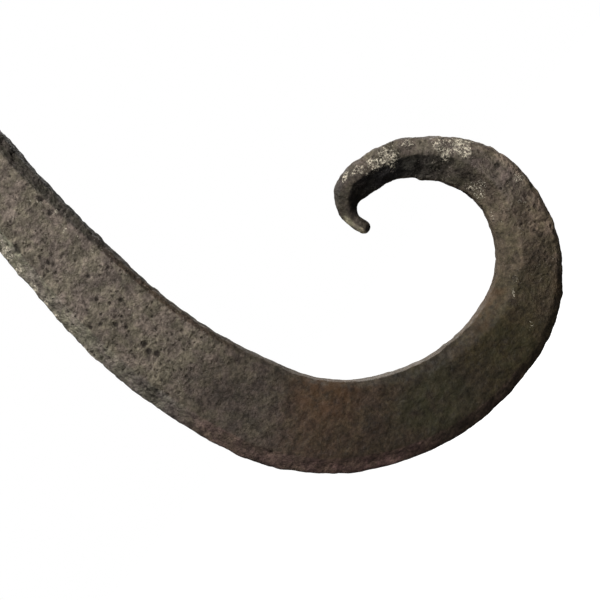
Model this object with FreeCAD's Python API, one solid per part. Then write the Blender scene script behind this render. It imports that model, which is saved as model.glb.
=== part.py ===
"""Hand-forged meat hook on a swivel yoke, hanging from an oval link and a welded ring.

Millimetres. +Z is up and the hook hangs as it does unloaded. The hook's own plane is XZ.
The origin is the inside top of the ring, the point that rests on whatever holds the hook up.
"""
import FreeCAD, Part
import math
import os

V = FreeCAD.Vector
X_AXIS = V(1, 0, 0)
Y_AXIS = V(0, 1, 0)
Z_AXIS = V(0, 0, 1)

# ---- fits and gaps ----
REST_GAP = 0.3          # between curved pieces that hang on each other
RUNNING_GAP = 0.08      # radial, neck in the yoke's hole and pin in its ears
LOOSE_GAP = 0.4         # radial, a rove on its shaft

# ---- hanging ring: round wire, bent and forge welded ----
RING_BORE_R = 24.0
RING_WIRE_R = 4.5

# ---- hanging link: oval of round wire, across the ring ----
LINK_WIRE_R = 4.0
LINK_GAP = 14.0         # clear width between the two legs

# ---- yoke: flat bar bent to a U, with a boss for the hook's neck ----
PIN_DROP = 85.0         # from the origin down to the pin's axis
PIN_R = 5.0
YOKE_GAP = 28.0         # clear width between the arms
YOKE_ARM_T = 7.0
YOKE_BASE_T = 10.0
YOKE_BASE_W = 22.0      # front to back, at the bend
YOKE_WAIST_W = 14.5     # front to back, just under the ears
YOKE_INNER_BEND = 3.0
YOKE_OUTER_BEND = 9.0
EAR_R = 10.0
BOSS_R = 13.5
BOSS_BEVEL = 2.0

# ---- yoke pin, across the ears ----
PIN_HEAD_R = 8.5
PIN_HEAD_RIM = 2.0      # straight rim under the head's dome
PIN_HEAD_DOME = 3.0
PIN_PEEN_R = 7.0
PIN_PEEN_RIM = 1.0
PIN_PEEN_DOME = 2.5
PIN_ROVE_R = 8.8
PIN_ROVE_T = 1.8

# ---- hook: round neck through the yoke, peened over a rove ----
HEAD_CLEARANCE = 20.0   # pin axis down to the top of the peened head
HEAD_R = 10.0
HEAD_RIM = 2.0          # straight rim under the head's dome
HEAD_DOME = 4.0
SWIVEL_ROVE_R = 11.0
SWIVEL_ROVE_T = 2.5
NECK_R = 6.0
SHOULDER_PLAY = 1.0     # axial play between the hook's shoulder and the yoke
SHOULDER_R = 9.5
SHOULDER_T = 6.0
SHOULDER_TAPER = 7.0

# ---- hook bar: the centreline from the shoulder to the tip ----
# Each run is ("line", length) or ("arc", radius, turn in degrees, positive towards the throat).
BAR_RUNS = [
    ("line", 8.0),          # under the shoulder
    ("arc", 90.0, -10.0),   # swan neck that sets the shank back
    ("line", 92.0),         # shank
    ("arc", 396.0, 4.5),    # lower shank, hardly bent
    ("arc", 115.0, 21.5),   # sweep into the bowl
    ("arc", 39.5, 30.0),    # heel
    ("arc", 45.5, 50.5),    # floor of the bowl
    ("arc", 25.5, 72.0),    # far wall
    ("arc", 20.0, 41.5),    # upper wall
    ("arc", 23.0, 54.0),    # crown
    ("arc", 4.9, 97.0),     # tight curl
    ("arc", 16.5, 10.0),    # blunt nib
]

# The bar's section at the start of the first run and at the end of each run:
# (width in the hook's plane, depth across it,
#  outer bevel's share of the width, its inner crease and its edge as shares of the depth,
#  inner bevel's share of the width, its edge as a share of the depth)
ROUND_BEVEL = 0.293
ROUND_EDGE = 0.414
BAR_SECTIONS = [
    (14.5, 14.5, ROUND_BEVEL, 1.00, ROUND_EDGE, ROUND_BEVEL, ROUND_EDGE),
    (14.5, 14.5, ROUND_BEVEL, 1.00, ROUND_EDGE, ROUND_BEVEL, ROUND_EDGE),
    (15.0, 14.0, 0.24, 1.00, 0.50, 0.16, 0.62),
    (16.2, 13.0, 0.20, 1.00, 0.52, 0.15, 0.68),
    (18.8, 13.0, 0.20, 1.00, 0.52, 0.05, 0.86),
    (21.2, 13.5, 0.18, 1.00, 0.60, 0.05, 0.86),
    (19.6, 13.5, 0.18, 1.00, 0.68, 0.05, 0.86),
    (15.8, 13.0, 0.14, 0.93, 0.66, 0.25, 0.74),
    (11.8, 11.5, 0.10, 0.80, 0.52, 0.44, 0.50),
    (9.9, 10.6, 0.11, 0.80, 0.46, 0.50, 0.20),
    (7.1, 7.4, 0.15, 0.82, 0.42, 0.55, 0.13),
    (3.1, 3.2, ROUND_BEVEL, 1.00, ROUND_EDGE, ROUND_BEVEL, ROUND_EDGE),
    (2.8, 2.9, ROUND_BEVEL, 1.00, ROUND_EDGE, ROUND_BEVEL, ROUND_EDGE),
]
LINE_STEP = 12.0        # spacing of the loft's sections on straight and gentle runs
ARC_STEP = 9.0          # degrees between sections on tight runs
NIB_ROUND = 0.8         # length over which the nib's end closes in
NIB_END_SHARE = 0.55    # the nib's end face, as a share of its section

# ---- heights that follow from the sizes above ----
RING_CENTRE_Z = -RING_BORE_R
RING_CENTRE_R = RING_BORE_R + RING_WIRE_R
LINK_BOW_R = LINK_GAP / 2 + LINK_WIRE_R
LINK_TOP_Z = -2 * RING_BORE_R + REST_GAP + LINK_WIRE_R
PIN_Z = -PIN_DROP
LINK_BOTTOM_Z = PIN_Z - PIN_R - REST_GAP - LINK_WIRE_R
HEAD_BASE_Z = PIN_Z - HEAD_CLEARANCE - HEAD_DOME - HEAD_RIM
YOKE_FLOOR_Z = HEAD_BASE_Z - SWIVEL_ROVE_T
YOKE_BASE_Z = YOKE_FLOOR_Z - YOKE_BASE_T
SHOULDER_Z = YOKE_BASE_Z - SHOULDER_PLAY
YOKE_HALF = YOKE_GAP / 2 + YOKE_ARM_T


def at(x, z):
    """A point in the hook's plane."""
    return V(x, 0, z)


def disc(radius, centre, axis):
    return Part.Face(Part.Wire(Part.makeCircle(radius, centre, axis)))


def washer(outer_r, inner_r, thickness, base, axis):
    body = Part.makeCylinder(outer_r, thickness, base, axis)
    hole = Part.makeCylinder(inner_r, thickness, base, axis)
    return body.cut(hole)


def dome_middle(radius, height):
    """Halfway point of a dome's arc from its rim to its top: distance off the axis, height above the rim."""
    sphere_r = (radius ** 2 + height ** 2) / (2 * height)
    half_angle = math.atan2(radius, sphere_r - height) / 2
    return sphere_r * math.sin(half_angle), sphere_r * math.cos(half_angle) - (sphere_r - height)


def turned(profile, centre, axis):
    """Revolve a closed outline, a list of points and arc-through points, about an axis."""
    edges = []
    here = profile[0]
    for step in profile[1:]:
        if isinstance(step, tuple):
            edges.append(Part.Arc(here, step[0], step[1]).toShape())
            here = step[1]
        else:
            edges.append(Part.makeLine(here, step))
            here = step
    edges.append(Part.makeLine(here, profile[0]))
    return Part.Face(Part.Wire(edges)).revolve(centre, axis, 360)


def hanging_ring():
    return Part.makeTorus(RING_CENTRE_R, RING_WIRE_R, at(0, RING_CENTRE_Z), Y_AXIS)


def hanging_link():
    """Two half-round bows joined by two straight legs, in the YZ plane."""
    top_centre = V(0, 0, LINK_TOP_Z - LINK_BOW_R)
    bottom_centre = V(0, 0, LINK_BOTTOM_Z + LINK_BOW_R)
    leg_length = top_centre.z - bottom_centre.z
    left = V(0, -LINK_BOW_R, 0)
    right = V(0, LINK_BOW_R, 0)
    top_bow = disc(LINK_WIRE_R, top_centre + right, Z_AXIS).revolve(top_centre, X_AXIS, 180)
    bottom_bow = disc(LINK_WIRE_R, bottom_centre + left, Z_AXIS).revolve(bottom_centre, X_AXIS, 180)
    legs = [Part.makeCylinder(LINK_WIRE_R, leg_length, bottom_centre + side) for side in (left, right)]
    return top_bow.fuse([bottom_bow] + legs).removeSplitter()


def yoke_front_outline():
    """The bent bar seen from the front: a U with rounded corners, in the XZ plane."""
    top = PIN_Z + EAR_R
    half_in = YOKE_GAP / 2
    ri = YOKE_INNER_BEND
    ro = YOKE_OUTER_BEND
    diag = 1 - math.sqrt(0.5)
    edges = [
        Part.makeLine(at(-YOKE_HALF, top), at(-YOKE_HALF, YOKE_BASE_Z + ro)),
        Part.Arc(at(-YOKE_HALF, YOKE_BASE_Z + ro),
                 at(-YOKE_HALF + ro * diag, YOKE_BASE_Z + ro * diag),
                 at(-YOKE_HALF + ro, YOKE_BASE_Z)).toShape(),
        Part.makeLine(at(-YOKE_HALF + ro, YOKE_BASE_Z), at(YOKE_HALF - ro, YOKE_BASE_Z)),
        Part.Arc(at(YOKE_HALF - ro, YOKE_BASE_Z),
                 at(YOKE_HALF - ro * diag, YOKE_BASE_Z + ro * diag),
                 at(YOKE_HALF, YOKE_BASE_Z + ro)).toShape(),
        Part.makeLine(at(YOKE_HALF, YOKE_BASE_Z + ro), at(YOKE_HALF, top)),
        Part.makeLine(at(YOKE_HALF, top), at(half_in, top)),
        Part.makeLine(at(half_in, top), at(half_in, YOKE_FLOOR_Z + ri)),
        Part.Arc(at(half_in, YOKE_FLOOR_Z + ri),
                 at(half_in - ri * diag, YOKE_FLOOR_Z + ri * diag),
                 at(half_in - ri, YOKE_FLOOR_Z)).toShape(),
        Part.makeLine(at(half_in - ri, YOKE_FLOOR_Z), at(-half_in + ri, YOKE_FLOOR_Z)),
        Part.Arc(at(-half_in + ri, YOKE_FLOOR_Z),
                 at(-half_in + ri * diag, YOKE_FLOOR_Z + ri * diag),
                 at(-half_in, YOKE_FLOOR_Z + ri)).toShape(),
        Part.makeLine(at(-half_in, YOKE_FLOOR_Z + ri), at(-half_in, top)),
        Part.makeLine(at(-half_in, top), at(-YOKE_HALF, top)),
    ]
    return Part.Face(Part.Wire(edges))


def yoke_side_blank():
    """The same bar seen from the side: round ears on arms that widen to the bend."""
    width = 2 * YOKE_HALF
    ears = Part.makeCylinder(EAR_R, width, V(-YOKE_HALF, 0, PIN_Z), X_AXIS)
    corners = [
        V(-YOKE_HALF, -YOKE_WAIST_W / 2, PIN_Z),
        V(-YOKE_HALF, YOKE_WAIST_W / 2, PIN_Z),
        V(-YOKE_HALF, YOKE_BASE_W / 2, YOKE_FLOOR_Z),
        V(-YOKE_HALF, YOKE_BASE_W / 2, YOKE_BASE_Z),
        V(-YOKE_HALF, -YOKE_BASE_W / 2, YOKE_BASE_Z),
        V(-YOKE_HALF, -YOKE_BASE_W / 2, YOKE_FLOOR_Z),
    ]
    arms = Part.Face(Part.makePolygon(corners + corners[:1])).extrude(V(width, 0, 0))
    return ears.fuse(arms)


def swivel_yoke():
    bar = yoke_front_outline()
    bar.translate(V(0, -YOKE_BASE_W, 0))
    bent = bar.extrude(V(0, 2 * YOKE_BASE_W, 0)).common(yoke_side_blank())
    boss = Part.makeCylinder(BOSS_R, YOKE_BASE_T, at(0, YOKE_BASE_Z))
    boss = boss.makeChamfer(BOSS_BEVEL, [boss.Edges[0], boss.Edges[2]])
    neck_hole = Part.makeCylinder(NECK_R + RUNNING_GAP, YOKE_BASE_T, at(0, YOKE_BASE_Z))
    pin_hole = Part.makeCylinder(PIN_R + RUNNING_GAP, 2 * YOKE_HALF, at(-YOKE_HALF, PIN_Z), X_AXIS)
    return bent.fuse(boss).removeSplitter().cut(neck_hole).cut(pin_hole)


def yoke_pin():
    """Headed pin across the ears, peened over its rove at the other end."""
    def on_pin(x, radius):
        return V(x, 0, PIN_Z + radius)

    head_face = -YOKE_HALF
    head_rim = head_face - PIN_HEAD_RIM
    peen_face = YOKE_HALF + PIN_ROVE_T
    peen_rim = peen_face + PIN_PEEN_RIM
    head_off, head_up = dome_middle(PIN_HEAD_R, PIN_HEAD_DOME)
    peen_off, peen_up = dome_middle(PIN_PEEN_R, PIN_PEEN_DOME)
    outline = [
        on_pin(head_rim - PIN_HEAD_DOME, 0),
        (on_pin(head_rim - head_up, head_off), on_pin(head_rim, PIN_HEAD_R)),
        on_pin(head_face, PIN_HEAD_R),
        on_pin(head_face, PIN_R),
        on_pin(peen_face, PIN_R),
        on_pin(peen_face, PIN_PEEN_R),
        on_pin(peen_rim, PIN_PEEN_R),
        (on_pin(peen_rim + peen_up, peen_off), on_pin(peen_rim + PIN_PEEN_DOME, 0)),
    ]
    return turned(outline, at(0, PIN_Z), X_AXIS)


def pin_rove():
    return washer(PIN_ROVE_R, PIN_R + LOOSE_GAP, PIN_ROVE_T, at(YOKE_HALF, PIN_Z), X_AXIS)


def swivel_rove():
    return washer(SWIVEL_ROVE_R, NECK_R + LOOSE_GAP, SWIVEL_ROVE_T, at(0, YOKE_FLOOR_Z), Z_AXIS)


def hook_neck():
    """Peened head, round neck and shoulder, turned about the swivel's axis."""
    head_rim = HEAD_BASE_Z + HEAD_RIM
    shoulder_low = SHOULDER_Z - SHOULDER_T
    dome_off, dome_up = dome_middle(HEAD_R, HEAD_DOME)
    outline = [
        at(0, head_rim + HEAD_DOME),
        (at(dome_off, head_rim + dome_up), at(HEAD_R, head_rim)),
        at(HEAD_R, HEAD_BASE_Z),
        at(NECK_R, HEAD_BASE_Z),
        at(NECK_R, SHOULDER_Z),
        at(SHOULDER_R - 1, SHOULDER_Z),
        at(SHOULDER_R, SHOULDER_Z - 1),
        at(SHOULDER_R, shoulder_low + 1),
        at(NECK_R, shoulder_low - SHOULDER_TAPER),
        at(0, shoulder_low - SHOULDER_TAPER),
    ]
    return turned(outline, at(0, 0), Z_AXIS)


def bar_section(x, z, heading, shape):
    """Eight-sided section across the centreline, its inner side towards the throat."""
    width, depth, outer_bevel, outer_crease, outer_edge, inner_bevel, inner_edge = shape
    inward = at(-math.sin(heading), math.cos(heading))
    half = depth / 2
    front = [
        (-width / 2, outer_edge * half),
        (-width / 2 + outer_bevel * width, outer_crease * half),
        (width / 2 - inner_bevel * width, half),
        (width / 2, inner_edge * half),
    ]
    back = [(u, -v) for u, v in reversed(front)]
    points = [at(x, z) + inward * u + Y_AXIS * v for u, v in front + back]
    return Part.makePolygon(points + points[:1])


def blend_shapes(first, last, share):
    return tuple(a + (b - a) * share for a, b in zip(first, last))


def bar_spans():
    """One smooth loft along each run of the centreline, and the short cap that closes in the nib."""
    x = 0.0
    z = SHOULDER_Z - SHOULDER_T + 2.0
    heading = math.radians(-90)
    wire = bar_section(x, z, heading, BAR_SECTIONS[0])
    spans = []
    for run, first, last in zip(BAR_RUNS, BAR_SECTIONS, BAR_SECTIONS[1:]):
        if run[0] == "line":
            length = run[1]
            turn = 0.0
            steps = max(1, round(length / LINE_STEP))
        else:
            turn = math.radians(run[2])
            length = run[1] * abs(turn)
            steps = max(2, round(length / LINE_STEP), round(abs(run[2]) / ARC_STEP))
        wires = [wire]
        for step in range(1, steps + 1):
            middle = heading + turn / steps / 2
            chord = length / steps
            if turn:
                chord *= math.sin(turn / steps / 2) / (turn / steps / 2)
            x += chord * math.cos(middle)
            z += chord * math.sin(middle)
            heading += turn / steps
            wire = bar_section(x, z, heading, blend_shapes(first, last, step / steps))
            wires.append(wire)
        spans.append(Part.makeLoft(wires, True, False))
    ahead = at(math.cos(heading), math.sin(heading))
    width, depth = BAR_SECTIONS[-1][:2]
    small = (width * NIB_END_SHARE, depth * NIB_END_SHARE) + BAR_SECTIONS[-1][2:]
    tip = at(x, z) + ahead * NIB_ROUND
    spans.append(Part.makeLoft([wire, bar_section(tip.x, tip.z, heading, small)], True, True))
    return spans


def hook_bar():
    return hook_neck().fuse(bar_spans()).removeSplitter()


NODES = {
    "hanging_ring": hanging_ring,
    "hanging_link": hanging_link,
    "swivel_yoke": swivel_yoke,
    "yoke_pin": yoke_pin,
    "pin_rove": pin_rove,
    "swivel_rove": swivel_rove,
    "hook_bar": hook_bar,
}

os.makedirs("parts", exist_ok=True)
for name, make in NODES.items():
    shape = make()
    shape.exportStep(f"parts/{name}.step")
    centre = shape.Solids[0].CenterOfMass
    print(name, "solids", len(shape.Solids), "valid", shape.isValid(), "volume", round(shape.Volume, 1),
          "centre", [round(value, 2) for value in centre], "box", shape.BoundBox)
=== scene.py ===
"""Looks of a hand-forged swivel meat hook: hammered, pitted, rust-browned iron in a white studio.

Every piece is remeshed from its CAD solid, hammered and pitted in mesh code, painted with
per-vertex zones, and given one procedural iron material.
"""
import itertools
import math

import bmesh
import bpy
import numpy as np
from mathutils import Matrix, Vector


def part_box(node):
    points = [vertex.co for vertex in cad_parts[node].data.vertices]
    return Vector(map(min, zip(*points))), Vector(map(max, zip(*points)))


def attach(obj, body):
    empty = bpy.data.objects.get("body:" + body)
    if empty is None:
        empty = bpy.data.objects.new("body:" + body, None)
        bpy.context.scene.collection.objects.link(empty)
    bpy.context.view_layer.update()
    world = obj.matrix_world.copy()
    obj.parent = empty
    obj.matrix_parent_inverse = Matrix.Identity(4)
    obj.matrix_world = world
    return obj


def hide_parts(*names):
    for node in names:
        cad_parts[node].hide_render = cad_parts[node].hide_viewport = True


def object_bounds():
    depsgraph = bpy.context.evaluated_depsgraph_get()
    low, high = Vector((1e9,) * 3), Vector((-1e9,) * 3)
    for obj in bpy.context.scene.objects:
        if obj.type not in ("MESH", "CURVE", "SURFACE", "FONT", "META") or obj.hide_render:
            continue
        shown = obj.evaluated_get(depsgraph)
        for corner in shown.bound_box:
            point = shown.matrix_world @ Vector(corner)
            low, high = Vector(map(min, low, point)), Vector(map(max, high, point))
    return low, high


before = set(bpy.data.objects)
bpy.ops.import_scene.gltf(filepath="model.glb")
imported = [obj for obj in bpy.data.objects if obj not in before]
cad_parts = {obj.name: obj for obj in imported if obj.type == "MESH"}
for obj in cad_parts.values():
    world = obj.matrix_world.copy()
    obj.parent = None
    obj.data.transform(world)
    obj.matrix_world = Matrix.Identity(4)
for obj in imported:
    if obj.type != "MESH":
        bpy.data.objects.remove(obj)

MM = 0.001
MM_PER_METRE = 1000.0
CAD_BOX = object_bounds()

# ---- camera: square on to the hook's plane, rolled so that the shank comes in from the upper left ----
VIEW_CENTRE = Vector((6.0, 0.0, -307.6)) * MM
VIEW_WIDTH = 129.0 * MM
CAMERA_ROLL = math.radians(49.83)
LENS_MM = 100.0
SENSOR_MM = 36.0
CLIP_START = 0.01

# ---- light: each lamp's direction from the view's centre, power, distance and size in metres ----
LIGHT_COLOUR = (1.0, 0.970, 0.930)
KEY_TOWARD = (0.0, -0.62, 0.78)
KEY_POWER = 8.6
KEY_DISTANCE = 0.9
KEY_SIZE = 0.32
FILL_TOWARD = (-0.5, -0.8, 0.1)
FILL_POWER = 1.0
BACK_TOWARD = (0.4, 0.85, 0.5)
BACK_POWER = KEY_POWER * 0.55
SOFT_DISTANCE = 1.0
SOFT_SIZE = 0.5
AMBIENT = 0.07
WHITE = (1, 1, 1, 1)

# ---- floor, in metres ----
FLOOR_DROP = 0.13
FLOOR_HALF_SIDE = 6.0
FLOOR_TONES = ((0.80, 0.80, 0.79, 1), (0.84, 0.84, 0.83, 1))
FLOOR_CLOUDS_MM = 300.0
FLOOR_ROUGHNESS = 0.9
FLOOR_GLOW = 0.98

# ---- hammering and corrosion of the meshes, in mm ----
WELD = 0.002
WARP_SIZE = 1.1
WARP_SHIFT = 0.35
BROAD_LUMPS = 9.0
MIDDLE_LUMPS = 4.6
SMALL_LUMPS = 2.7
HAMMER_DEPTH = 0.18
SCALE_SIZE = 1.7
RIDGE_SIZE = 1.0
SCALE_HEIGHT = 0.17
PIT_CROWDS = 5.5
PIT_DEPTH = 0.42
METAL_LOSS = 0.05
CALMED = 0.9            # the share of all this that calm zones are spared
WORN_ROUNDS = 8         # of relaxing, to tell crests from hollows
WORN_FROM = 0.03
WORN_TO = 0.13

# ---- the iron's colours ----
RUST = (0.120, 0.062, 0.028, 1)
VERDIGRIS = (0.040, 0.042, 0.017, 1)
SOOT = (0.014, 0.010, 0.008, 1)
PURPLISH = (1.03, 0.98, 1.00, 1)
OLIVE = (0.98, 1.00, 0.90, 1)
BRIGHT = (0.36, 0.32, 0.27, 1)
CHALK = (0.62, 0.57, 0.46)
KHAKI = (0.26, 0.235, 0.182)
WORN_EDGE = (0.138, 0.106, 0.076)
CREST_GAIN = 2.2

# ---- the iron's noise patterns ----
# (feature size mm, detail, roughness, noise from, noise to, level at from, level at to)
BLOTCHES = (6.0, 3.0, 0.5, 0.30, 0.70, 0.78, 1.22)
MOTTLE = (2.1, 3.0, 0.6, 0.32, 0.68, 0.72, 1.28)
GRAIN = (0.75, 3.0, 0.7, 0.30, 0.70, 0.66, 1.40)
HUES = (2.8, 3.0, 0.6, 0.38, 0.62, 0.0, 1.0)
CREST_PATCHES = (0.8, 2.0, 0.5, 0.40, 0.65, 0.0, 0.40)
EDGE_PATCHES = (2.0, 2.0, 0.5, 0.35, 0.60, 0.3, 0.9)
RUST_PATCHES = (2.2, 4.0, 0.65, 0.35, 0.62, 0.0, 0.75)
GREEN_PATCHES = (3.0, 3.0, 0.5, 0.35, 0.60, 0.0, 0.7)
CHALK_SHADES = (0.7, 2.0, 0.5, 0.35, 0.65, 0.4, 1.5)
FLECKS = (0.5, 2.0, 0.6, 0.63, 0.70, 0.0, 0.75)
FLECK_CROWDS = (3.5, 2.0, 0.5, 0.42, 0.60, 0.15, 1.0)
GLOSS = (1.2, 2.0, 0.5, 0.30, 0.70, 0.58, 0.80)
# (feature size mm, detail, roughness)
CHALK_GRAINS = (0.40, 3.0, 0.85)
FINE_RELIEF = (0.6, 4.0, 0.65)
BROAD_RELIEF = (1.7, 3.0, 0.5)

# ---- how much of each the iron has ----
CHALK_COVER = (-0.30, 0.05)             # added to the grains' noise where chalk is 0, and where it is 1
CHALK_RIM = (0.51, 0.56)                # the sum at which a grain starts, and is whole
SMALL_POCKS = (1.5, 0.30)               # spacing mm, radius as a share of it
LARGE_POCKS = (3.6, 0.24)
SPECK_STIR = 0.9                        # mm that specks are stirred by, in swirls of that size
PIT_DIRT = 0.85
HOLLOW_DIRT = 0.45
POCK_DIRT = 0.68
FINE_HEIGHT = (0.10, 0.70)              # in mm, on clean iron and on crusted iron
BROAD_HEIGHT = (0.40, 0.75)
POCK_HEIGHT = 0.22
RELIEF_STRENGTH = 0.9
POLISH_GLOSS = 0.25
SPECULAR = 0.30

# ---- the hook's colours and surface, at named places along it ----
# its flat faces: (x mm, z mm, linear colour, pitting from 0 to 1, lumpiness, 1 where well hammered)
FLAT_PLACES = [
    (0, -140, (0.105, 0.084, 0.064), 0.5, 0.4),         # neck
    (-12, -200, (0.132, 0.112, 0.091), 0.8, 0.3),       # upper shank
    (-15, -245, (0.172, 0.149, 0.123), 0.95, 0.25),     # shank
    (-18, -268, (0.178, 0.153, 0.129), 1.0, 0.25),
    (-19, -289, (0.165, 0.142, 0.116), 1.0, 0.2),
    (-18, -312, (0.069, 0.056, 0.046), 0.45, 0.3),      # heel
    (-8, -327, (0.055, 0.035, 0.022), 0.25, 0.35),      # rusty start of the bowl
    (-6, -338, (0.038, 0.026, 0.017), 0.25, 0.4),       # bowl's floor
    (8, -345, (0.028, 0.022, 0.013), 0.25, 0.4),
    (28, -346, (0.035, 0.026, 0.012), 0.30, 0.4),       # lower far wall
    (42, -343, (0.068, 0.052, 0.033), 0.7, 0.5),
    (48, -334, (0.128, 0.101, 0.074), 0.75, 0.6),       # far wall
    (52, -322, (0.136, 0.112, 0.098), 0.8, 1.4),
    (48, -310, (0.124, 0.106, 0.092), 0.8, 1.7),        # crown
    (42, -304, (0.088, 0.074, 0.061), 1.0, 1.7),
    (33, -299, (0.080, 0.067, 0.053), 0.7, 1.3),
    (27, -304, (0.048, 0.040, 0.032), 0.3, 0.25),       # curl and nib
]
# its bevels: (x mm, z mm, linear colour). Besides rust and crust, these colours hold painted light and
# shade: bevel facets are painted paler or darker place by place for the light they catch.
OUTER_BEVEL_TINTS_AND_PAINTED_SHADING = [
    (-10, -170, (0.12, 0.10, 0.08)),
    (-26, -250, (0.29, 0.28, 0.23)),                    # pale crust along the shank's back
    (-31, -276, (0.25, 0.235, 0.195)),
    (-34, -294, (0.155, 0.145, 0.130)),
    (-28, -318, (0.140, 0.095, 0.083)),                 # purplish brown under the bowl
    (-12, -345, (0.150, 0.096, 0.086)),
    (12, -355, (0.095, 0.066, 0.053)),
    (38, -352, (0.070, 0.052, 0.034)),
    # painted light: the far wall's outer bevel faces away from the lamp but is painted pale
    (56, -334, (0.215, 0.170, 0.125)),
    (57, -320, (0.260, 0.210, 0.165)),
    (52, -306, (0.180, 0.155, 0.125)),
    (40, -299, (0.150, 0.130, 0.105)),
    (30, -297, (0.070, 0.064, 0.060)),
]
INNER_BEVEL_TINTS_AND_PAINTED_SHADING = [
    (-5, -170, (0.09, 0.07, 0.055)),
    (-9, -255, (0.078, 0.070, 0.060)),
    (-10, -285, (0.078, 0.058, 0.043)),
    (0, -318, (0.060, 0.050, 0.040)),
    (16, -335, (0.029, 0.022, 0.014)),
    (24, -341, (0.036, 0.028, 0.018)),
    (32, -341, (0.066, 0.052, 0.034)),                  # tan inner facet of the far wall, painted paler up to (46, -325) as painted light where the facet faces the lamp
    (37, -337, (0.090, 0.073, 0.050)),
    (42, -333, (0.098, 0.080, 0.056)),
    (46, -325, (0.138, 0.113, 0.084)),
    (47, -317, (0.075, 0.064, 0.050)),
    (43.5, -311, (0.040, 0.036, 0.032)),
    (37, -306, (0.027, 0.027, 0.028)),                  # dark underside of the crown: painted shade where it faces away from the lamp
    (30, -303, (0.022, 0.018, 0.014)),
]
PLACE_SOFTNESS = 5.0                    # mm over which one place's values give way to the next
# patches on it: (x mm, z mm, radius mm, strength)
HOOK_RUST = [
    (-5, -324, 8, 0.6), (28, -340, 3, 0.4), (32, -338, 3, 0.4), (-11, -281, 2.5, 0.5),
    (-9, -276, 2.5, 0.4), (44, -349, 4, 0.3), (52, -340, 3, 0.35), (35, -338, 2.2, 0.5),
    (-14, -180, 12, 0.3), (0, -145, 10, 0.3),
]
HOOK_GREEN = [
    (7, -343, 10, 0.5), (28, -348, 8, 0.45), (40, -343, 6, 0.4), (41, -332, 4, 0.3),
    (46, -322, 5, 0.35),
]
HOOK_CHALK = [
    # crown and far wall
    (53, -313, 3.4, 1.0), (50, -310, 3.6, 0.85), (46, -303, 2.2, 0.7), (41.5, -302, 3.2, 1.0),
    (38, -300.5, 2.6, 1.0), (35, -299.5, 2.0, 0.75), (32.5, -298.5, 1.5, 0.9),
    (43.5, -301.5, 2.5, 0.62), (44, -312, 3, 0.66), (48, -321.4, 3.5, 0.72),
    (45, -318, 1.8, 0.75), (46, -328, 2.0, 0.62), (55.7, -326.4, 1.8, 0.75),
    (52.5, -330, 1.4, 0.65), (38.5, -339.5, 1.4, 0.65), (36.4, -341, 1.3, 0.7),
    (33, -348, 1.6, 0.6),
    # down the outer edge of the shank
    (-25.2, -250, 1.6, 1.0), (-26.4, -254, 1.8, 1.0), (-27.9, -257.5, 1.4, 1.0),
    (-29, -262.5, 1.6, 0.95), (-29.6, -266, 1.3, 1.0), (-30.4, -269.5, 1.5, 1.0),
    (-31.5, -275, 1.7, 0.95), (-32.6, -280, 1.5, 0.9), (-33, -287, 1.8, 0.95),
    (-33.3, -295, 2.0, 0.85), (-32.8, -303, 1.6, 0.75),
    # down its shoulder
    (-12.9, -246.5, 1.0, 0.6), (-13.3, -252.4, 1.2, 0.75), (-14, -255.5, 1.3, 0.8),
    (-14, -259.2, 1.1, 0.75), (-14.1, -263.8, 1.0, 0.65), (-14.1, -267.2, 1.2, 0.7),
]
# where the ridge between the far wall's two facets is painted paler: rubbed wear and a painted highlight
# along it
WALL_RIDGE_WEAR_AND_HIGHLIGHT = [(48, -328, 5, 1.0), (44, -336, 6, 1.0)]
NIB_PALE = [(25.4, -305.2, 2.2, 1.0), (25.8, -308, 2.0, 1.0)]
# the deepest pits of its front: (x mm, z mm, radius mm)
HOOK_PITS = [
    (-27, -277.5, 0.7), (-25, -278.6, 0.6), (-23, -281.2, 0.8), (-22.1, -283.3, 0.6),
    (-21.6, -274.6, 0.7), (-20.4, -277.3, 0.6), (-18.4, -278.7, 0.7), (-14.9, -272.1, 0.6),
    (-19, -270.2, 0.6), (-13.1, -252, 0.9), (-14.1, -255.4, 0.8), (-22.3, -262, 0.6),
    (-15.9, -285, 0.5), (-22.9, -290.2, 1.0), (-22.1, -291.8, 1.0),
]
# inner bevels face the throat: a point in the bowl, and on the shank's side a level line above it
THROAT_X = 26
THROAT_Z = -318
SHANK_SIDE_X = 15
LUMPY_FROM_Z = -300                     # the outer edge grows lumpier between these heights
LUMPY_TO_Z = -320
RUBBED_FROM_Z = -255                    # the inner side is rubbed along its middle below these
RUBBED_TO_Z = -285
NECK_RADIUS = 7.5                       # the neck that turns in the yoke stays smooth
NECK_LENGTH = 20
BAR_VOXEL = 0.36
BAR_ROUNDS = 5
BAR_LUMPS = 0.28
BAR_SEED = 11

# ---- the hanging gear, in mm ----
RING_WIRE = 9.0
LINK_INSET = 6                          # from the link's ends to the middle of its worn zones
SWIVEL_Z = -118.5                       # where the neck turns in the yoke
GEAR_ROUNDS = 6
GEAR_LUMPS = 0.16
GEAR_LUMPINESS = 0.8
BROWN = (0.088, 0.070, 0.056)
YOKE_BROWN = (0.096, 0.078, 0.062)
PIN_BROWN = (0.100, 0.082, 0.066)
ROVE_BROWN = (0.110, 0.090, 0.072)


def smoothstep(low, high, value):
    """From 0 at low to 1 at high, level at both; low may be the greater."""
    t = np.clip((value - low) / (high - low), 0, 1)
    return t * t * (3 - 2 * t)


def hashed(cells, seed):
    """Repeatable values from 0 to 1 for whole-numbered cells."""
    mask = 0xFFFFFFFF
    n = cells[..., 0] * 374761393 + cells[..., 1] * 668265263 + cells[..., 2] * 1274126177
    n = (n + seed * 1442695041) & mask
    n = ((n ^ (n >> 15)) * 2246822519) & mask
    n = ((n ^ (n >> 13)) * 3266489917) & mask
    return ((n ^ (n >> 16)) & 0xFFFFFF) / float(0xFFFFFF)


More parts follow.
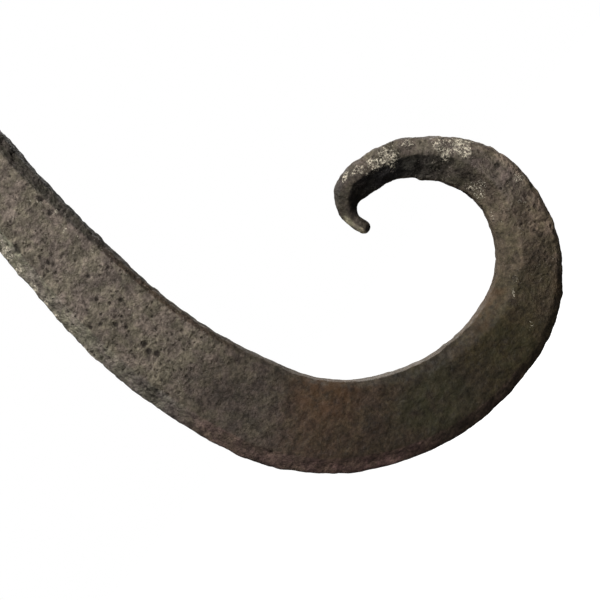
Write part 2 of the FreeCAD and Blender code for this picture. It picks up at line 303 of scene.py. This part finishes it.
def bumps(points, size, seed):
    """Smooth noise from -1 to 1 whose bumps are about size mm across."""
    place = points / size
    low = np.floor(place).astype(np.int64)
    share = place - low
    share = share ** 3 * (share * (share * 6 - 15) + 10)
    total = np.zeros(len(points))
    for corner in itertools.product((0, 1), repeat=3):
        weight = np.prod(np.where(corner, share, 1 - share), axis=1)
        total += weight * hashed(low + np.array(corner), seed)
    return 2 * total - 1


def dents(points, spacing, radius, share, seed):
    """Depth from 0 to 1 of round dents of about radius mm, in that share of the cells spacing mm apart."""
    cell = np.floor(points / spacing).astype(np.int64)
    deepest = np.zeros(len(points))
    for offset in itertools.product((-1, 0, 1), repeat=3):
        near = cell + np.array(offset)
        shift = np.stack([hashed(near, seed + k) for k in range(3)], axis=1)
        size = radius * (0.55 + 0.9 * hashed(near, seed + 3))
        gap = np.linalg.norm(points - (near + shift) * spacing, axis=1) / size
        here = (hashed(near, seed + 4) < share) * np.clip(1 - gap ** 2, 0, 1)
        deepest = np.maximum(deepest, here)
    return deepest


def spots(points, places):
    """Soft-edged patches from 0 to 1 in the hook's plane: (x, z, radius, strength), the lengths in mm."""
    total = np.zeros(len(points))
    for x, z, radius, strength in places:
        gap = np.hypot(points[:, 0] - x, points[:, 2] - z)
        total = np.maximum(total, strength * (1 - smoothstep(radius * 0.35, radius * 1.25, gap)))
    return total


def balls(points, places):
    """Soft-edged zones from 0 to 1 about points in space: (x, y, z, radius), all in mm."""
    total = np.zeros(len(points))
    for x, y, z, radius in places:
        gap = np.linalg.norm(points - np.array((x, y, z)), axis=1)
        total = np.maximum(total, 1 - smoothstep(radius * 0.5, radius, gap))
    return total


def blended(points, places):
    """The values that places hold after their x and z, blended at each point by nearness."""
    weights = []
    for place in places:
        gap = np.hypot(points[:, 0] - place[0], points[:, 2] - place[1])
        weights.append(1 / (gap ** 2 + PLACE_SOFTNESS ** 2) ** 2)
    weights = np.array(weights)
    weights /= weights.sum(axis=0)
    values = np.array([np.hstack(place[2:]) for place in places])
    return weights.T @ values


def warped(points, size, amount, seed):
    """Points shifted by up to amount mm of smooth noise, so that patterns on them lose their round shape."""
    shift = [bumps(points, size, seed + k) for k in range(3)]
    return points + amount * np.stack(shift, axis=1)


def relaxed(points, edges, rounds):
    """Points drawn halfway to their neighbours' mean, rounds times."""
    n = len(points)
    a, b = edges[:, 0], edges[:, 1]
    count = np.bincount(edges.ravel(), minlength=n)[:, None]
    for _ in range(rounds):
        mean = np.empty_like(points)
        for axis in range(3):
            mean[:, axis] = np.bincount(a, points[b, axis], n) + np.bincount(b, points[a, axis], n)
        points = (points + mean / count) / 2
    return points


def remeshed(node, name, voxel):
    """A new piece with an even mesh, its faces about voxel mm wide, over a CAD node's closed surface."""
    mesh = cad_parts[node].data.copy()
    shell = bmesh.new()
    shell.from_mesh(mesh)
    bmesh.ops.remove_doubles(shell, verts=shell.verts, dist=WELD * MM)
    shell.to_mesh(mesh)
    shell.free()
    piece = bpy.data.objects.new(name, mesh)
    bpy.context.scene.collection.objects.link(piece)
    skin = piece.modifiers.new("skin", "REMESH")
    skin.mode = "VOXEL"
    skin.voxel_size = voxel * MM
    made = bpy.data.meshes.new_from_object(piece.evaluated_get(bpy.context.evaluated_depsgraph_get()))
    piece.modifiers.clear()
    piece.data = made
    return piece


def read_points(mesh):
    points = np.empty(len(mesh.vertices) * 3, np.float32)
    mesh.vertices.foreach_get("co", points)
    return points.reshape(-1, 3).astype(float) / MM


def write_points(mesh, points):
    mesh.vertices.foreach_set("co", (points * MM).astype(np.float32).ravel())
    mesh.update()


def read_normals(mesh):
    normals = np.empty(len(mesh.vertices) * 3, np.float32)
    mesh.vertex_normals.foreach_get("vector", normals)
    return normals.reshape(-1, 3).astype(float)


def read_edges(mesh):
    edges = np.empty(len(mesh.edges) * 2, np.int32)
    mesh.edges.foreach_get("vertices", edges)
    return edges.reshape(-1, 2)


def paint(mesh, name, values):
    """Store one number or one colour for each vertex, for the material to read."""
    if values.ndim == 1:
        layer = mesh.attributes.new(name, "FLOAT", "POINT")
        layer.data.foreach_set("value", values.astype(np.float32))
    else:
        layer = mesh.attributes.new(name, "FLOAT_COLOR", "POINT")
        rgba = np.concatenate([values, np.ones((len(values), 1))], axis=1)
        layer.data.foreach_set("color", rgba.astype(np.float32).ravel())


def forge(piece, node, rounds, lumps, pitting, lumpy, calm, seed, extra=0.0):
    """Soften a piece's edges, then hammer and pit its surface within its CAD node's box.

    lumps is the height in mm of its lumps where lumpy is 1. calm zones, from 0 to 1, stay smooth.
    extra is the depth, from 0 to 1, of listed pits. Returns each point and its normal.
    """
    mesh = piece.data
    edges = read_edges(mesh)
    points = relaxed(read_points(mesh), edges, rounds)
    write_points(mesh, points)
    normals = read_normals(mesh)
    bent = warped(points, WARP_SIZE, WARP_SHIFT, seed + 40)
    move = lumps * lumpy * (bumps(points, BROAD_LUMPS, seed) + 0.6 * bumps(points, MIDDLE_LUMPS, seed + 1))
    move += 0.8 * lumps * lumpy * bumps(bent, SMALL_LUMPS, seed + 5)
    move -= HAMMER_DEPTH * dents(points, spacing=6.5, radius=5.0, share=0.5, seed=seed + 10)
    move += SCALE_HEIGHT * (0.2 + pitting) * bumps(bent, SCALE_SIZE, seed + 2)
    move += SCALE_HEIGHT * (0.1 + pitting) * (0.6 - np.abs(bumps(bent, RIDGE_SIZE, seed + 3)))
    crowd = smoothstep(-0.4, 0.5, bumps(points, PIT_CROWDS, seed + 4) + 1.6 * (pitting - 0.8))
    small = 0.75 * dents(bent, spacing=1.25, radius=0.46, share=0.7, seed=seed + 20)
    large = dents(bent, spacing=4.0, radius=0.85, share=0.4, seed=seed + 30)
    pit = np.maximum(np.maximum(small, large) * crowd, extra)
    move -= PIT_DEPTH * pit + METAL_LOSS
    low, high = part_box(node)
    points = points + normals * (move * (1 - CALMED * calm))[:, None]
    points = np.clip(points, np.array(low) / MM, np.array(high) / MM)
    write_points(mesh, points)
    away = points - relaxed(points, edges, WORN_ROUNDS)
    bulge = np.einsum("ij,ij->i", away, normals)
    paint(mesh, "pit", pit * (1 - calm))
    paint(mesh, "crust", np.clip(pitting, 0, 1) * (1 - calm))
    paint(mesh, "wear", smoothstep(WORN_FROM, WORN_TO, bulge))
    paint(mesh, "hollow", smoothstep(WORN_FROM, WORN_TO, -bulge))
    mesh.shade_smooth()
    return points, normals


class Nodes:
    """Short calls for building one material's node tree."""

    def __init__(self, name):
        self.material = bpy.data.materials.new(name)
        self.material.use_nodes = True
        self.tree = self.material.node_tree
        self.tree.nodes.clear()
        self.place = self.put("ShaderNodeTexCoord").outputs["Object"]

    def put(self, kind, settings=None, **inputs):
        """A new node. An input's name has underscores for its spaces."""
        node = self.tree.nodes.new(kind)
        for key, value in (settings or {}).items():
            setattr(node, key, value)
        for key, value in inputs.items():
            self.feed(node.inputs[key.replace("_", " ")], value)
        return node

    def feed(self, socket, value):
        """Link an output to a socket, or set the socket's own value."""
        if isinstance(value, bpy.types.NodeSocket):
            self.tree.links.new(value, socket)
        else:
            socket.default_value = value

    def number(self, name):
        return self.put("ShaderNodeAttribute", {"attribute_name": name}).outputs["Fac"]

    def colour(self, name):
        return self.put("ShaderNodeAttribute", {"attribute_name": name}).outputs["Color"]

    def texture(self, size_mm, detail=2.0, rough=0.5):
        """A noise node with features about size_mm across, fixed to the piece."""
        node = self.put("ShaderNodeTexNoise", Vector=self.place, Detail=detail, Roughness=rough)
        node.inputs["Scale"].default_value = MM_PER_METRE / size_mm
        return node

    def noise(self, *texture):
        """Noise from 0 to 1."""
        return self.texture(*texture).outputs["Fac"]

    def patches(self, pattern):
        """One of the iron's noise patterns, spread over its two levels."""
        return self.ramp(self.noise(*pattern[:3]), *pattern[3:])

    def zone(self, attribute, pattern):
        """A painted zone, broken up by patches."""
        return self.math("MULTIPLY", self.number(attribute), self.patches(pattern))

    def specks(self, spacing_mm, radius):
        """Ragged round specks, 1 inside, on about half the cells; radius is a share of their spacing."""
        shift = self.put("ShaderNodeVectorMath", {"operation": "MULTIPLY_ADD"})
        self.feed(shift.inputs[0], self.texture(SPECK_STIR).outputs["Color"])
        self.feed(shift.inputs[1], (SPECK_STIR * MM, SPECK_STIR * MM, SPECK_STIR * MM))
        self.feed(shift.inputs[2], self.place)
        cells = self.put("ShaderNodeTexVoronoi", Vector=shift.outputs[0], Scale=MM_PER_METRE / spacing_mm)
        round_speck = self.ramp(cells.outputs["Distance"], 0.4 * radius, radius, 1.0, 0.0)
        return self.math("MULTIPLY", round_speck, self.ramp(cells.outputs["Color"], 0.48, 0.54))

    def ramp(self, value, low, high, out_low=0.0, out_high=1.0):
        """out_low at low, out_high at high, and a smooth run between them."""
        node = self.put("ShaderNodeMapRange", {"interpolation_type": "SMOOTHSTEP"}, Value=value)
        node.inputs["From Min"].default_value = low
        node.inputs["From Max"].default_value = high
        node.inputs["To Min"].default_value = out_low
        node.inputs["To Max"].default_value = out_high
        return node.outputs["Result"]

    def math(self, operation, a, b):
        node = self.put("ShaderNodeMath", {"operation": operation})
        self.feed(node.inputs[0], a)
        self.feed(node.inputs[1], b)
        return node.outputs[0]

    def mix(self, share, a, b, blend="MIX"):
        """Colour a where share is 0 and colour b where it is 1. The colour sockets are 6, 7 and out 2."""
        node = self.put("ShaderNodeMix", {"data_type": "RGBA", "blend_type": blend})
        self.feed(node.inputs[0], share)
        self.feed(node.inputs[6], a)
        self.feed(node.inputs[7], b)
        return node.outputs[2]

    def scaled(self, colour, amount):
        node = self.put("ShaderNodeVectorMath", {"operation": "SCALE"})
        self.feed(node.inputs[0], colour)
        self.feed(node.inputs["Scale"], amount)
        return node.outputs[0]


def forged_iron(name):
    """Oxidised wrought iron: blotched brown, dark in the pits, paler on worn crests, with rust and chalk."""
    n = Nodes(name)
    tint = n.colour("tint")
    crust = n.number("crust")
    grain = n.patches(GRAIN)
    shade = n.math("MULTIPLY", n.math("MULTIPLY", n.patches(BLOTCHES), n.patches(MOTTLE)), grain)
    base = n.mix(1.0, n.scaled(tint, shade), n.mix(n.patches(HUES), PURPLISH, OLIVE), "MULTIPLY")
    base = n.mix(n.zone("wear", CREST_PATCHES), base, n.scaled(tint, CREST_GAIN))
    base = n.mix(n.zone("edge", EDGE_PATCHES), base, n.scaled(WORN_EDGE, grain))
    base = n.mix(n.zone("rust", RUST_PATCHES), base, RUST)
    base = n.mix(n.zone("green", GREEN_PATCHES), base, VERDIGRIS)

    chalk = n.math("ADD", n.noise(*CHALK_GRAINS), n.ramp(n.number("chalk"), 0, 1, *CHALK_COVER))
    base = n.mix(n.ramp(chalk, *CHALK_RIM), base, n.scaled(CHALK, n.patches(CHALK_SHADES)))
    flecks = n.math("MULTIPLY", n.ramp(crust, 0.4, 1.0), n.patches(FLECKS))
    base = n.mix(n.math("MULTIPLY", flecks, n.patches(FLECK_CROWDS)), base, BRIGHT)

    pocks = n.math("MAXIMUM", n.specks(*SMALL_POCKS), n.specks(*LARGE_POCKS))
    pocks = n.math("MULTIPLY", pocks, n.ramp(crust, 0.3, 0.9))
    pits = n.ramp(n.number("pit"), 0.15, 0.8, 0, PIT_DIRT)
    dirt = n.math("MAXIMUM", pits, n.ramp(n.number("hollow"), 0, 1, 0, HOLLOW_DIRT))
    base = n.mix(n.math("MAXIMUM", dirt, n.math("MULTIPLY", pocks, POCK_DIRT)), base, SOOT)

    fine = n.math("MULTIPLY", n.noise(*FINE_RELIEF), n.ramp(crust, 0, 1, *FINE_HEIGHT))
    broad = n.math("MULTIPLY", n.noise(*BROAD_RELIEF), n.ramp(crust, 0, 1, *BROAD_HEIGHT))
    height = n.math("SUBTRACT", n.math("ADD", fine, broad), n.math("MULTIPLY", pocks, POCK_HEIGHT))
    relief = n.math("MULTIPLY", height, MM)
    bump = n.put("ShaderNodeBump", Height=relief, Strength=RELIEF_STRENGTH, Distance=1.0)
    rough = n.math("SUBTRACT", n.patches(GLOSS), n.math("MULTIPLY", n.number("polish"), POLISH_GLOSS))
    iron = n.put("ShaderNodeBsdfPrincipled", Roughness=rough, Normal=bump.outputs[0])
    n.feed(iron.inputs["Base Color"], base)
    n.feed(iron.inputs["Specular IOR Level"], SPECULAR)
    out = n.put("ShaderNodeOutputMaterial")
    n.tree.links.new(iron.outputs[0], out.inputs["Surface"])
    return n.material


IRON = forged_iron("forged_iron")


def finish_piece(piece, node, body):
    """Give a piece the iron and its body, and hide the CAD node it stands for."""
    piece.data.materials.clear()
    piece.data.materials.append(IRON)
    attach(piece, body)
    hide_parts(node)


def away_from_throat(points, normals):
    """How far each normal leans, in the hook's plane, from the throat: above 0 on the outer bevels."""
    x, z = points[:, 0], points[:, 2]
    level = np.where(x < SHANK_SIDE_X, np.maximum(z, THROAT_Z), THROAT_Z)
    way = np.stack([x - THROAT_X, z - level], axis=1)
    way /= np.linalg.norm(way, axis=1)[:, None]
    return normals[:, 0] * way[:, 0] + normals[:, 2] * way[:, 1]


def front_pits(points):
    """Depth from 0 to 1 of the deepest pits, which only the front has."""
    deepest = np.zeros(len(points))
    for x, z, radius in HOOK_PITS:
        gap = np.hypot(points[:, 0] - x, points[:, 2] - z) / radius
        deepest = np.maximum(deepest, np.clip(1 - gap ** 2, 0, 1) * (points[:, 1] < 0))
    return deepest


def hook_tint_and_painted_shading(points, normals, faces, lean):
    """The hook's colour: its flat faces, its outer and inner bevels with their painted light and shade, the
    painted highlight and wear on the far wall's ridge, and the nib.
    """
    patchy = 0.72 + 0.28 * bumps(points, 3.0, BAR_SEED + 1)
    outer = (patchy * smoothstep(0.15, 0.5, lean))[:, None]
    inner = smoothstep(0.15, 0.5, -lean)[:, None]
    tint = faces * (1 - outer - inner)
    tint += blended(points, OUTER_BEVEL_TINTS_AND_PAINTED_SHADING) * outer + blended(points, INNER_BEVEL_TINTS_AND_PAINTED_SHADING) * inner
    # the far wall's ridge is painted paler: wear and a painted highlight
    ridge_wear_and_highlight = smoothstep(0.08, 0.22, -lean) * (1 - smoothstep(0.3, 0.5, -lean))
    tint *= 1 + 0.4 * (ridge_wear_and_highlight * spots(points, WALL_RIDGE_WEAR_AND_HIGHLIGHT))[:, None]
    nib = spots(points, NIB_PALE) * smoothstep(0.1, 0.5, -normals[:, 0])
    return tint + (np.array(KHAKI) - tint) * nib[:, None]


def make_hook():
    piece = remeshed("hook_bar", "forged_hook", BAR_VOXEL)
    mesh = piece.data
    points = read_points(mesh)
    head_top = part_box("hook_bar")[1].z / MM
    calm = (np.hypot(points[:, 0], points[:, 1]) < NECK_RADIUS) & (points[:, 2] > head_top - NECK_LENGTH)
    flats = blended(points, FLAT_PLACES)
    faces, pitting, lumpy = flats[:, :3], flats[:, 3], flats[:, 4]
    edge = smoothstep(0.2, 0.6, away_from_throat(points, read_normals(mesh)))
    below = smoothstep(LUMPY_FROM_Z, LUMPY_TO_Z, points[:, 2])
    lumpy = lumpy + 0.4 * edge * below * np.clip(1 - lumpy, 0, 1)
    points, normals = forge(piece, "hook_bar", BAR_ROUNDS, BAR_LUMPS, pitting, lumpy,
                            calm.astype(float), BAR_SEED, front_pits(points))
    lean = away_from_throat(points, normals)
    mid_side = 1 - smoothstep(1.0, 2.6, np.abs(points[:, 1]))
    chalk = spots(warped(points, 2.2, 1.1, BAR_SEED + 50), HOOK_CHALK) * (1 - 0.6 * mid_side)
    rubbed = smoothstep(0.76, 0.95, -lean) * smoothstep(RUBBED_FROM_Z, RUBBED_TO_Z, points[:, 2])
    # the tint carries painted light and shade on the bevels and a painted highlight on the far wall's ridge
    paint(mesh, "tint", hook_tint_and_painted_shading(points, normals, faces, lean))
    paint(mesh, "rust", spots(points, HOOK_RUST))
    paint(mesh, "green", spots(points, HOOK_GREEN))
    paint(mesh, "chalk", chalk)
    paint(mesh, "edge", rubbed)
    paint(mesh, "polish", np.zeros(len(points)))
    finish_piece(piece, "hook_bar", "hook")


def make_gear(node, name, body, slot, voxel, tint, rubbed, seed):
    """A forged piece of the hanging gear. rubbed zones are worn smooth and bright by their neighbours."""
    piece = remeshed(node, name, voxel)
    mesh = piece.data
    points = read_points(mesh)
    count = len(points)
    calm = balls(points, rubbed)
    pitting = 0.55 + 0.3 * bumps(points, 14.0, seed + 7)
    lumpy = np.full(count, GEAR_LUMPINESS)
    points, _ = forge(piece, node, GEAR_ROUNDS, GEAR_LUMPS, pitting, lumpy, calm, seed)
    shade = 1 + 0.18 * bumps(points, 16.0, seed + 8)
    paint(mesh, "tint", np.array(tint)[None, :] * (shade * (1 + 0.9 * calm))[:, None])
    paint(mesh, "rust", smoothstep(0.1, 0.8, bumps(points, 11.0, seed + 9)) * (1 - calm))
    paint(mesh, "green", np.zeros(count))
    paint(mesh, "chalk", 0.5 * smoothstep(0.5, 0.9, bumps(points, 8.0, seed + 6)))
    paint(mesh, "polish", calm)
    paint(mesh, "edge", np.zeros(count))
    finish_piece(piece, node, body)


def make_hanging_gear():
    """The ring, link, yoke, pin and roves. Their rubbed zones are (x, y, z, radius), in mm."""
    ring_low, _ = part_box("hanging_ring")
    link_low, link_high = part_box("hanging_link")
    pin_low, pin_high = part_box("yoke_pin")
    ring_rubbed = [(0, 0, ring_low.z / MM + RING_WIRE, 9), (0, 0, 0, 8)]
    link_rubbed = [(0, 0, link_high.z / MM - LINK_INSET, 8), (0, 0, link_low.z / MM + LINK_INSET, 8)]
    yoke_rubbed = [(0, 0, SWIVEL_Z, 10)]
    pin_rubbed = [(0, 0, (pin_low.z + pin_high.z) / 2 / MM, 13)]
    # (CAD node, piece, body, slot, voxel mm, linear colour, rubbed zones, seed)
    for gear in (
        ("hanging_ring", "forged_ring", "ring", "ring_iron", 0.45, BROWN, ring_rubbed, 101),
        ("hanging_link", "forged_link", "link", "link_iron", 0.42, BROWN, link_rubbed, 201),
        ("swivel_yoke", "forged_yoke", "yoke", "yoke_iron", 0.42, YOKE_BROWN, yoke_rubbed, 301),
        ("yoke_pin", "forged_pin", "yoke", "pin_iron", 0.36, PIN_BROWN, pin_rubbed, 401),
        ("pin_rove", "forged_pin_rove", "yoke", "rove_iron", 0.28, ROVE_BROWN, [], 501),
        ("swivel_rove", "forged_swivel_rove", "yoke", "rove_iron", 0.28, ROVE_BROWN, [], 601),
    ):
        make_gear(*gear)


def make_camera():
    right = Vector((math.cos(CAMERA_ROLL), 0, -math.sin(CAMERA_ROLL)))
    up = Vector((math.sin(CAMERA_ROLL), 0, math.cos(CAMERA_ROLL)))
    back = Vector((0, -1, 0))
    data = bpy.data.cameras.new("camera")
    data.lens = LENS_MM
    data.sensor_width = SENSOR_MM
    data.clip_start = CLIP_START
    camera = bpy.data.objects.new("camera", data)
    distance = VIEW_WIDTH * LENS_MM / SENSOR_MM
    turn = Matrix((right, up, back)).transposed().to_4x4()
    camera.matrix_world = Matrix.Translation(VIEW_CENTRE + back * distance) @ turn
    bpy.context.scene.collection.objects.link(camera)
    bpy.context.scene.camera = camera


def make_area_light(name, toward, distance, size, power):
    data = bpy.data.lights.new(name, "AREA")
    data.shape = "SQUARE"
    data.size = size
    data.energy = power
    data.color = LIGHT_COLOUR
    light = bpy.data.objects.new(name, data)
    direction = Vector(toward).normalized()
    light.location = VIEW_CENTRE + direction * distance
    light.rotation_mode = "QUATERNION"
    light.rotation_quaternion = direction.to_track_quat("Z", "Y")
    bpy.context.scene.collection.objects.link(light)


def make_world():
    """White where the camera sees it, dim as a light, so that the shaded sides stay dark."""
    world = bpy.data.worlds.new("studio")
    world.use_nodes = True
    tree = world.node_tree
    tree.nodes.clear()
    seen = tree.nodes.new("ShaderNodeBackground")
    seen.inputs["Color"].default_value = WHITE
    glow = tree.nodes.new("ShaderNodeBackground")
    glow.inputs["Color"].default_value = WHITE
    glow.inputs["Strength"].default_value = AMBIENT
    path = tree.nodes.new("ShaderNodeLightPath")
    either = tree.nodes.new("ShaderNodeMixShader")
    out = tree.nodes.new("ShaderNodeOutputWorld")
    tree.links.new(path.outputs["Is Camera Ray"], either.inputs[0])
    tree.links.new(glow.outputs[0], either.inputs[1])
    tree.links.new(seen.outputs[0], either.inputs[2])
    tree.links.new(either.outputs[0], out.inputs[0])
    bpy.context.scene.world = world


def make_floor():
    """A pale floor well below the hanging hook. It glows white, and throws no light on the hook."""
    n = Nodes("pale_floor")
    pale = n.put("ShaderNodeBsdfPrincipled", Roughness=FLOOR_ROUGHNESS)
    n.feed(pale.inputs["Base Color"], n.mix(n.noise(FLOOR_CLOUDS_MM), *FLOOR_TONES))
    n.feed(pale.inputs["Emission Color"], WHITE)
    n.feed(pale.inputs["Emission Strength"], FLOOR_GLOW)
    out = n.put("ShaderNodeOutputMaterial")
    n.tree.links.new(pale.outputs[0], out.inputs["Surface"])
    half = FLOOR_HALF_SIDE
    height = CAD_BOX[0].z - FLOOR_DROP
    mesh = bpy.data.meshes.new("floor")
    corners = [(-half, -half, height), (half, -half, height), (half, half, height), (-half, half, height)]
    mesh.from_pydata(corners, [], [(0, 1, 2, 3)])
    mesh.materials.append(n.material)
    floor = bpy.data.objects.new("floor", mesh)
    bpy.context.scene.collection.objects.link(floor)
    floor.visible_diffuse = False
    floor.visible_glossy = False


make_camera()
make_world()
make_area_light("key", KEY_TOWARD, KEY_DISTANCE, KEY_SIZE, KEY_POWER)
make_area_light("fill", FILL_TOWARD, SOFT_DISTANCE, SOFT_SIZE, FILL_POWER)
make_area_light("back", BACK_TOWARD, SOFT_DISTANCE, SOFT_SIZE, BACK_POWER)
make_floor()
make_hook()
make_hanging_gear()

bpy.context.scene.view_settings.view_transform = "Standard"
